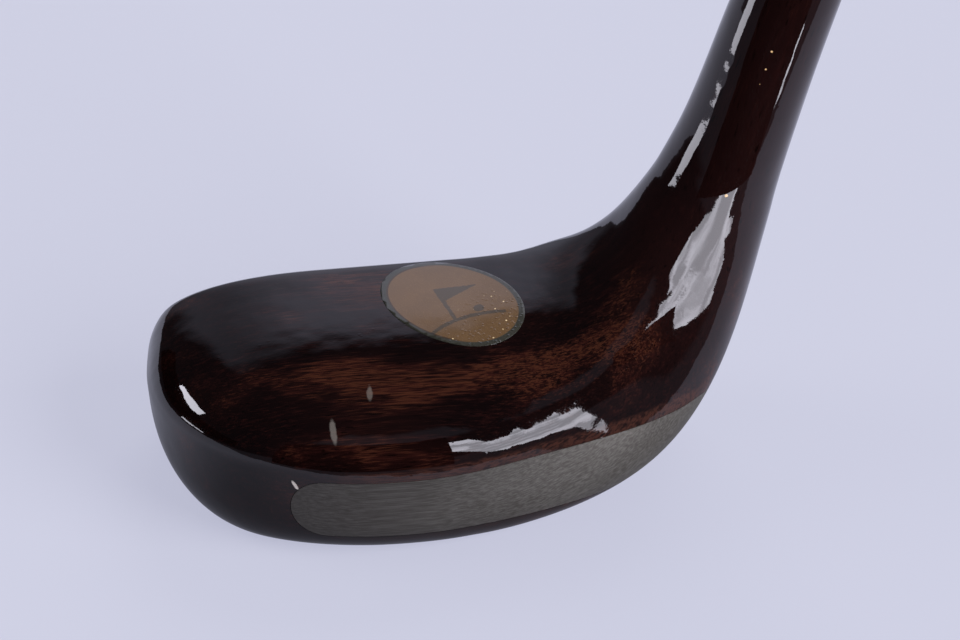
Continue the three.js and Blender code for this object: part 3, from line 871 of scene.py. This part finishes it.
def wear_and_painted_glints(g, at, stain_and_painted_light, fibre):
    """Wood rubbed pale along the top edge of the lead and where the head has been knocked, with painted
    glints of highlight on the neck.
    """
    x, y, z = g.parts(g.position("plan"))
    ragged = g.streaks(at, 0.35, 0.9, 2.0, shift=(2, 2, 0)) - 0.5
    back = g.rise(y, -18, -26) * between(g, x, -16, 60, 8)
    strip = back * between(g, z + ragged * 1.6, LEAD["top"] - 1.2, LEAD["top"] + 2.3, 0.5)
    below = back * between(g, z + ragged, LEAD["bottom"] - 2.0, LEAD["bottom"], 0.5)
    rubbed = g.rise(fibre + ragged * 0.5, 0.30, 0.62) * 0.75 + 0.1
    colour = g.mix(strip * rubbed, stain_and_painted_light, (0.042, 0.0145, 0.0095))
    colour = g.mix(below * 0.5, colour, (0.014, 0.007, 0.005))
    for (cx, cy, cz), half, long_half, slant, share in NICKS:
        u, v, depth = (x - cx) + (z - cz) * slant, z - cz, g.absolute(y - cy)
        spot = g.hypot(u / half, v / long_half) + ragged * 0.8
        mark = g.rise(spot, 1.0, 0.55) * g.rise(depth, 6, 4) * share
        colour = g.mix(mark, colour, (0.62, 0.56, 0.52))
    # Painted highlight: bright gold glints on the neck, painted into the wood's colour.
    for (cx, cy, cz), half in PAINTED_GLINTS:
        away = g.hypot(g.hypot(x - cx, y - cy), z - cz)
        colour = g.mix(g.rise(away, half, half * 0.6), colour, (0.85, 0.55, 0.26))
    return colour


def head_wood():
    g = Graph("lacquered_head_wood")
    at = g.position()
    colour, fibre = wood_colour(g, at)
    return g.principled(
        base_color=colour,
        roughness=0.5,
        specular_ior_level=0.0,
        normal=g.bump(fibre, 0.03),
        coat_normal=lacquer_waves(g, at),
        **LACQUER,
    )


def lead():
    g = Graph("brushed_lead")
    at = g.position()
    brushed = g.noise(g.stretched(at, (0.12, 3.0, 4.5)), 3.0, 0.65)
    cloud = g.streaks(at, 0.07, 0.11, 3.0, 0.6)
    pits = g.rise(g.cells(at, 0.9, 1.1), 0.14, 0.06)
    patina = g.mix(cloud, (0.060, 0.050, 0.041), (0.115, 0.108, 0.098))
    colour = g.mix(g.rise(brushed, 0.35, 0.7) * 0.6, patina, (0.235, 0.222, 0.206))
    colour = g.mix(pits * 0.5, colour, (0.06, 0.05, 0.04))
    # Painted shade: the lead is darkened towards the toe, where less light falls on its curve.
    x, _, _ = g.parts(g.position("plan"))
    colour = g.mix(g.rise(x, 36, -26) * 0.55, colour, (0.034, 0.029, 0.026))
    return g.principled(
        base_color=colour,
        metallic=0.55,
        roughness=g.rise(cloud, 0.3, 0.7, 0.38, 0.52),
        normal=g.bump(brushed * 0.6 - pits * 0.5, 0.03),
    )


def transfer_film():
    """Bronze print with a plain border and a flag on its pin, and painted glints of highlight over one
    end.
    """
    g = Graph("transfer_film")
    at = g.position("plan")
    x, y, _ = g.parts(at)
    turn = TRANSFER["turn"]
    dx, dy = x - TRANSFER["x"], y - TRANSFER["y"]
    a = (dx * math.cos(turn) + dy * math.sin(turn)) / TRANSFER["half"]
    b = (dy * math.cos(turn) - dx * math.sin(turn)) / TRANSFER["half_width"]
    out = g.hypot(a, b)
    lean = math.radians(20)
    p = dx * math.cos(lean) + dy * math.sin(lean)
    q = (dy * math.cos(lean) - dx * math.sin(lean)) + 0.5
    pin = g.most(g.absolute(p + 1.5) - 0.38, g.absolute(q) - 5.4)
    flag = g.most(g.absolute(q - 3.2) - (1 - (p + 1.5) / 7.6) * 2.2, -1.3 - p)
    mound = g.most(g.absolute(q + 5.0 + p * p * 0.035) - 0.45, g.absolute(p) - 7.6)
    ball = g.hypot(p - 3.6, q + 3.7) - 1.0
    drawn = g.least(g.least(pin, flag), g.least(mound, ball))
    edge_wear = g.streaks(at, 1.6, 1.6, 2.0)
    ink = g.rise(drawn + (edge_wear - 0.5) * 0.5, 0.12, -0.12)
    border = g.rise(out, 0.905, 0.925)
    hairline = g.rise(g.absolute(out - 0.905), 0.018, 0.008)
    cloud = g.streaks(at, 0.16, 0.16, 3.0)
    flakes = g.streaks(at, 5.0, 5.0, 1.0)
    gold = g.mix(cloud, (0.105, 0.056, 0.022), (0.165, 0.087, 0.032))
    gold = g.mix(g.rise(flakes, 0.55, 0.75) * 0.5, gold, (0.24, 0.135, 0.052))
    olive = (0.034, 0.031, 0.022)
    colour = g.mix(ink * 0.72, gold, olive)
    colour = g.mix(border, colour, (0.036, 0.035, 0.026))
    colour = g.mix(hairline * 0.7 * g.rise(a + b, 0.2, -0.5), colour, (0.010, 0.006, 0.004))
    # Painted highlight: sparkling glints painted as bright spots over one end of the print.
    painted_glint = g.rise(g.cells(at, 0.62, 0.62, shift=(4, 1, 0)), 0.13, 0.07)
    painted_glint = painted_glint * g.rise(a, 0.1, 0.5)
    colour = g.mix(painted_glint * g.rise(out, 0.92, 0.88), colour, (0.95, 0.72, 0.42))
    blisters = g.rise(g.cells(at, 1.1, 1.1), 0.30, 0.16)
    lower = g.rise(a, -0.1, 0.9)
    return g.principled(
        base_color=colour,
        metallic=0.25,
        roughness=0.42,
        normal=g.bump(flakes * 0.4 + blisters * lower, 0.05),
        coat_normal=g.bump(blisters * lower, 0.06, lacquer_waves(g, g.position())),
        **LACQUER,
    )


def hickory():
    g = Graph("hickory")
    at = g.position()
    long_grain = g.streaks(at, 0.02, 0.9, 3.0, 0.6, 0.4)
    fibre = g.streaks(at, 0.12, 3.5, 2.0)
    colour = g.mix(g.rise(long_grain, 0.35, 0.68), (0.085, 0.028, 0.010), (0.26, 0.10, 0.032))
    colour = g.mix(g.rise(fibre, 0.5, 0.75) * 0.6, colour, (0.055, 0.018, 0.007))
    return g.principled(
        base_color=colour,
        roughness=0.4,
        specular_ior_level=0.3,
        normal=g.bump(fibre, 0.03),
        coat_normal=g.bump(g.streaks(at, 0.05, 0.6, 2.0), 0.03),
        coat_weight=0.7,
        coat_roughness=0.12,
        coat_ior=1.5,
    )


def waxed_thread():
    g = Graph("waxed_thread")
    at = g.position()
    lay = g.streaks(at, 6.0, 1.2, 2.0)
    patch = g.streaks(at, 0.2, 0.2, 3.0)
    colour = g.mix(patch, (0.010, 0.009, 0.008), (0.028, 0.024, 0.020))
    colour = g.mix(g.rise(lay, 0.5, 0.8) * 0.5, colour, (0.06, 0.05, 0.04))
    return g.principled(base_color=colour, roughness=0.5, normal=g.bump(lay, 0.04), sheen_weight=0.15)


def leather():
    g = Graph("grip_leather")
    at = g.position()
    pebbles = g.cells(at, 0.75, 0.95, "SMOOTH_F1")
    fine = g.streaks(at, 2.5, 2.5, 3.0)
    patch = g.streaks(at, 0.03, 0.08, 3.0, 0.6)
    creases = g.rise(pebbles, 0.35, 0.75)
    colour = g.mix(patch, (0.030, 0.013, 0.007), (0.085, 0.036, 0.017))
    colour = g.mix(creases * 0.6, colour, (0.012, 0.006, 0.004))
    colour = g.mix(g.rise(fine, 0.6, 0.8) * 0.35, colour, (0.15, 0.075, 0.038))
    return g.principled(
        base_color=colour,
        roughness=g.rise(patch, 0.3, 0.7, 0.42, 0.62),
        normal=g.bump(fine * 0.3 - creases, 0.16),
    )


def cloth():
    g = Graph("underlisting_cloth")
    at = g.place()
    x, y, z = g.parts(at)
    weave = g.math("SINE", x * 9.0) * g.math("SINE", (y + z) * 9.0)
    patch = g.streaks(at, 0.1, 0.1, 3.0)
    colour = g.mix(patch, (0.22, 0.17, 0.11), (0.34, 0.28, 0.19))
    return g.principled(base_color=colour, roughness=0.85, normal=g.bump(weave, 0.1), sheen_weight=0.3)


def brass():
    g = Graph("old_brass")
    at = g.position()
    patch = g.streaks(at, 0.5, 0.5, 3.0)
    scratches = g.streaks(at, 1.0, 8.0, 2.0)
    colour = g.mix(g.rise(patch, 0.4, 0.65), (0.33, 0.22, 0.09), (0.55, 0.40, 0.17))
    return g.principled(
        base_color=colour,
        metallic=1.0,
        roughness=g.rise(patch, 0.3, 0.7, 0.25, 0.42),
        normal=g.bump(scratches, 0.02),
    )


def fibre_plate():
    g = Graph("vulcanised_fibre")
    at = g.position()
    fine = g.noise(g.stretched(at, (1.2, 1.2, 5.0)), 3.0)
    patch = g.streaks(at, 0.08, 0.08, 3.0)
    _, _, above = g.parts(at)
    scored = g.absolute(g.math("PINGPONG", above, 1.6) - 0.8)
    line = g.rise(scored, 0.62, 0.76)
    colour = g.mix(patch, (0.11, 0.016, 0.010), (0.19, 0.030, 0.016))
    colour = g.mix(line * 0.6, colour, (0.03, 0.006, 0.004))
    return g.principled(
        base_color=colour,
        roughness=0.4,
        specular_ior_level=0.4,
        normal=g.bump(fine * 0.2 - line, 0.15),
        coat_weight=0.6,
        coat_roughness=0.15,
    )


def horn():
    g = Graph("ram_horn")
    at = g.position()
    streak = g.streaks(at, 0.06, 0.7, 3.0, 0.6, 0.6)
    colour = g.mix(g.rise(streak, 0.3, 0.7), (0.035, 0.024, 0.016), (0.30, 0.22, 0.13))
    return g.principled(
        base_color=colour,
        roughness=0.3,
        normal=g.bump(streak, 0.03),
        coat_weight=0.5,
        coat_roughness=0.1,
    )


def peg_wood():
    g = Graph("peg_wood")
    at = g.position()
    rings = g.noise(g.stretched(at, (2.0, 2.0, 0.2)), 3.0)
    colour = g.mix(rings, (0.10, 0.050, 0.020), (0.26, 0.15, 0.065))
    return g.principled(base_color=colour, roughness=0.5, normal=g.bump(rings, 0.03))


# ---- stage ----
PAPER = (0.565, 0.577, 0.730)  # pale lavender, as the camera sees it
MIRRORED_ROOM = {"dark": 0.035, "table": 0.16, "patch": 0.22, "window": 0.9}
# Distant soft lights: azimuth from +Y towards +X and elevation, in degrees, and strength.
WINDOWS = {
    "window_right": (122, 26, 4.2),
    "window_left": (-75, 35, 0.65),
    "window_behind": (20, 40, 1.15),
}


def degrees_of(g, vector):
    """Azimuth from +Y towards +X, and elevation, of a direction in a shader."""
    x, y, z = g.parts(vector)
    turn = 180 / math.pi
    return g.math("ARCTAN2", x, y) * turn, g.math("ARCSINE", z) * turn


def between(g, value, low, high, soft=3.0):
    """One inside a range of values, nothing outside it."""
    return g.rise(value, low - soft, low + soft) * g.rise(value, high + soft, high - soft)


def studio():
    """What each kind of ray meets past the floor.

    The camera meets paper and matt surfaces soft light. Reflections meet a dark room with a dim table
    below, lit paper on the face's side, a pale patch high over the back and a window by the heel.
    """
    g = Graph("studio", "World")
    direction = g.add("TexCoord", output="Generated")
    azimuth, elevation = degrees_of(g, direction)
    table = g.rise(elevation, 0, -5)
    behind = g.rise(azimuth, -36, -30) * g.rise(azimuth, 75, 60) * g.rise(elevation, -20, 25)
    behind = behind * g.rise(elevation, 49, 40) * (0.34 + g.rise(azimuth, -26, 0) * 0.80)
    window = between(g, azimuth, 95, 125) * between(g, elevation, 25, 60)
    patch = g.rise(g.absolute(azimuth), 138, 146) * between(g, elevation, 58, 78)
    room = MIRRORED_ROOM
    low_or_high = g.most(table * room["table"], patch * room["patch"])
    glow = room["dark"] + g.most(low_or_high, g.most(behind, window * room["window"]))
    ray = g.add("LightPath", output="Is Glossy Ray")
    seen = Wire(g, ray.socket.node.outputs["Is Camera Ray"])
    mirrored = g.add("Background", {"Color": (*PAPER, 1), "Strength": glow})
    soft = g.add("Background", {"Color": (0.93, 0.95, 1.0, 1), "Strength": 0.26})
    paper = g.add("Background", {"Color": (*PAPER, 1), "Strength": 1.0})
    unseen = g.add("MixShader", {0: ray, 1: soft, 2: mirrored})
    bpy.context.scene.world = g.finish(g.add("MixShader", {0: seen, 1: unseen, 2: paper}))


def glowing(name, strength, one_sided=False, mottled=0.0, spots_per_m=11):
    """A light's face: even, or mottled by a share of its strength."""
    g = Graph(name)
    if mottled:
        place = g.add("TexCoord", output="Object")
        spots = g.noise(g.stretched(place, (spots_per_m,) * 3), 2.0, 0.5, 0.6)
        strength = strength * (1 - mottled) + g.rise(spots, 0.40, 0.66) * (strength * mottled)
    lit = g.add("Emission", {"Color": (0.90, 0.89, 1.0, 1), "Strength": strength})
    if one_sided:
        back = g.add("NewGeometry", output="Backfacing")
        lit = g.add("MixShader", {0: back, 1: lit, 2: g.add("BsdfTransparent")})
    return g.finish(lit)


def only_for(made, *kinds):
    """Leaves the object visible only to the kinds of ray that are named."""
    for kind in ("camera", "diffuse", "glossy", "transmission", "volume_scatter", "shadow"):
        setattr(made, "visible_" + kind, kind in kinds)


def sheet(name, corners, material, *kinds):
    """A flat piece of the stage, its corners in millimetres."""
    made = new_object(name, corners, [tuple(range(len(corners)))])
    made.data.materials.append(material)
    only_for(made, *kinds)
    return made


def floor():
    """The floor the club lies on: a wide pale sheet, self-lit enough that its shadows stay faint."""
    g = Graph("floor_paper")
    lit = g.add("Emission", {"Color": (*PAPER, 1), "Strength": 0.82})
    matt = g.add("BsdfDiffuse", {"Color": (0.14, 0.14, 0.15, 1)})
    paper = g.finish(g.add("AddShader", {0: lit, 1: matt}))
    reach, low = 60000, -0.3
    corners = [(x * reach, y * reach, low) for x, y in ((-1, -1), (1, -1), (1, 1), (-1, 1))]
    sheet("floor", corners, paper, "camera", "diffuse", "shadow")


def mirrored_paper():
    """The sheet of paper under the club as its lacquer mirrors it, in the club's own shade close by."""
    g = Graph("mirrored_paper")
    x, y, _ = g.parts(g.place())
    away = g.hypot(g.most(g.absolute(x) - 45, 0.0), g.most(g.absolute(y + 12) - 20, 0.0))
    strength = 0.36 + g.rise(away, 4, 55) * 0.68
    lit = g.finish(g.add("Emission", {"Color": (*PAPER, 1), "Strength": strength}))
    near_edge = [(-900, -130), (-220, -100), (-30, -76), (60, -66), (150, -76), (520, -100)]
    outline = near_edge + [(520, 700), (-900, 700)]
    sheet("mirrored_paper", [(x, y, -0.6) for x, y in outline], lit, "glossy")


def way(azimuth, elevation):
    """The direction at an azimuth from +Y towards +X and an elevation, in degrees."""
    a, e = math.radians(azimuth), math.radians(elevation)
    return Vector((math.sin(a) * math.cos(e), math.cos(a) * math.cos(e), math.sin(e)))


# Panels and dark cards that stand upright and that only the lacquer sees: the axis that each stands
# across and where on it, its brightness, how mottled that is, and its outline.
UPRIGHT_SHEETS = {
    # Beyond the back of the head, for the long highlight over the lead, and a card that ends it.
    "panel_right": ("y", -400, 11.0, 0.5, [
        (110, 150), (265, -108), (344, -155), (365, -118), (300, 10), (236, 208), (205, 400), (110, 400),
    ]),
    "card_behind": ("y", -54, 0.0, 0.0, [(-44, 16), (6.5, 16), (6.5, 52), (-44, 52)]),
    # These keep the heel's panel out of the neck and out of the back of the crown.
    "card_neck": ("y", -16, 0.0, 0.0, [(44, 53.8), (64, 52.2), (75.5, 96), (44, 96)]),
    "card_heel": ("y", -30, 0.0, 0.0, [(33, 33), (54, 33), (54, 42), (46, 43.5), (33, 43.5)]),
    # Level with the neck, and a card that hides it from the toe.
    "panel_neck": ("x", -360, 7.0, 0.0, [(-58, 33), (50, 33), (50, 85), (-58, 85)]),
    "card": ("x", -90, 0.0, 0.0, [(-60, 27), (40, 27), (40, 46), (-60, 46)]),
}
PANEL_HEEL = {
    "facing": Vector((0.3, 0.85, 0.43)),
    "reach": 2.0,
    "upper_xz": [(43, 77), (62, 69), (78, 53), (100, 48)],
    "lower_xz": [(100, 34), (78, 37), (66, 38), (57, 43), (46, 50), (41, 57)],
}
PANEL_TOE = {
    "seen_from": Vector((-45, -22, 26)),
    "through": Vector((-125, 15, 70)),
    "facing": Vector((-0.25, -0.45, -0.86)),
    "ways": [(-54, 16), (-53, 24), (-78, 35), (-79, 27)],
}


def mirrored_lights():
    for name, (axis, where, strength, mottled, outline) in UPRIGHT_SHEETS.items():
        corners = [(where, a, b) if axis == "x" else (a, where, b) for a, b in outline]
        sheet(name, corners, glowing(name, strength, mottled=mottled), "glossy")
    # Close to the heel and lit on its side only, in a plane that the lead is beyond.
    facing, corners = PANEL_HEEL["facing"], []
    for x, z in PANEL_HEEL["upper_xz"] + PANEL_HEEL["lower_xz"]:
        corners.append((x, (PANEL_HEEL["reach"] - facing.x * x - facing.z * z) / facing.y, z))
    lit = glowing("panel_heel", 12.0, one_sided=True, mottled=0.5, spots_per_m=75)
    sheet("panel_heel", corners, lit, "glossy")
    # Over the toe, facing down, so that the throat and neck are behind it.
    eye, facing, corners = PANEL_TOE["seen_from"], PANEL_TOE["facing"], []
    for azimuth, elevation in PANEL_TOE["ways"]:
        ray = way(azimuth, elevation)
        corners.append(eye + ray * (facing.dot(PANEL_TOE["through"] - eye) / facing.dot(ray)))
    sheet("panel_toe", corners, glowing("panel_toe", 11.0, one_sided=True), "glossy")


def windows():
    """Broad distant lights that only matt surfaces see."""
    for name, (azimuth, elevation, strength) in WINDOWS.items():
        light = bpy.data.lights.new(name, "SUN")
        light.angle = math.radians(36)
        light.energy = strength
        made = bpy.data.objects.new(name, light)
        bpy.context.scene.collection.objects.link(made)
        made.rotation_euler = way(azimuth, elevation).to_track_quat("Z", "Y").to_euler()
        made.visible_camera = made.visible_glossy = False


CAMERA = {"azimuth": -0.72, "elevation": 35.74, "roll": 3.17, "distance": 504.6, "lens": 103.1}
CAMERA_TARGET = (8.6, -12.0, 31.35)


def camera():
    """At an azimuth from -Y towards +X, looking down by the elevation, and rolled."""
    a, e, r = (math.radians(CAMERA[k]) for k in ("azimuth", "elevation", "roll"))
    back = Vector((math.sin(a) * math.cos(e), -math.cos(a) * math.cos(e), math.sin(e)))
    right = (-back).cross(UP).normalized()
    up = right.cross(-back)
    rolled_right = right * math.cos(r) - up * math.sin(r)
    rolled_up = right * math.sin(r) + up * math.cos(r)
    data = bpy.data.cameras.new("camera")
    data.lens, data.sensor_width = CAMERA["lens"], 36
    data.clip_start, data.clip_end = 0.01, 200
    made = bpy.data.objects.new("camera", data)
    bpy.context.scene.collection.objects.link(made)
    place = Matrix((rolled_right, rolled_up, back)).transposed().to_4x4()
    place.translation = (Vector(CAMERA_TARGET) + back * CAMERA["distance"]) * MM
    made.matrix_world = place
    bpy.context.scene.camera = made


# ---- everything, in order ----
def dress(pieces, material):
    for piece in pieces if isinstance(pieces, list) else [pieces]:
        piece.data.materials.clear()
        piece.data.materials.append(material)


def build():
    camera()
    blank = head_blank()
    dress(make_head(blank), head_wood())
    dress(make_back_weight(blank), lead())
    dress(make_insert(blank), fibre_plate())
    slip, pegs = make_slip(blank)
    dress(slip, horn())
    dress(pegs, peg_wood())
    dress(make_transfer(blank), transfer_film())
    discard(blank)
    dress(make_shaft(), hickory())
    dress(make_bindings(), waxed_thread())
    dress(make_leather(), leather())
    dress(make_screws() + make_tacks(), brass())
    dress(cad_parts["grip_underlisting"], cloth())
    studio()
    floor()
    mirrored_paper()
    mirrored_lights()
    windows()
    bpy.context.scene.view_settings.view_transform = "Standard"


build()
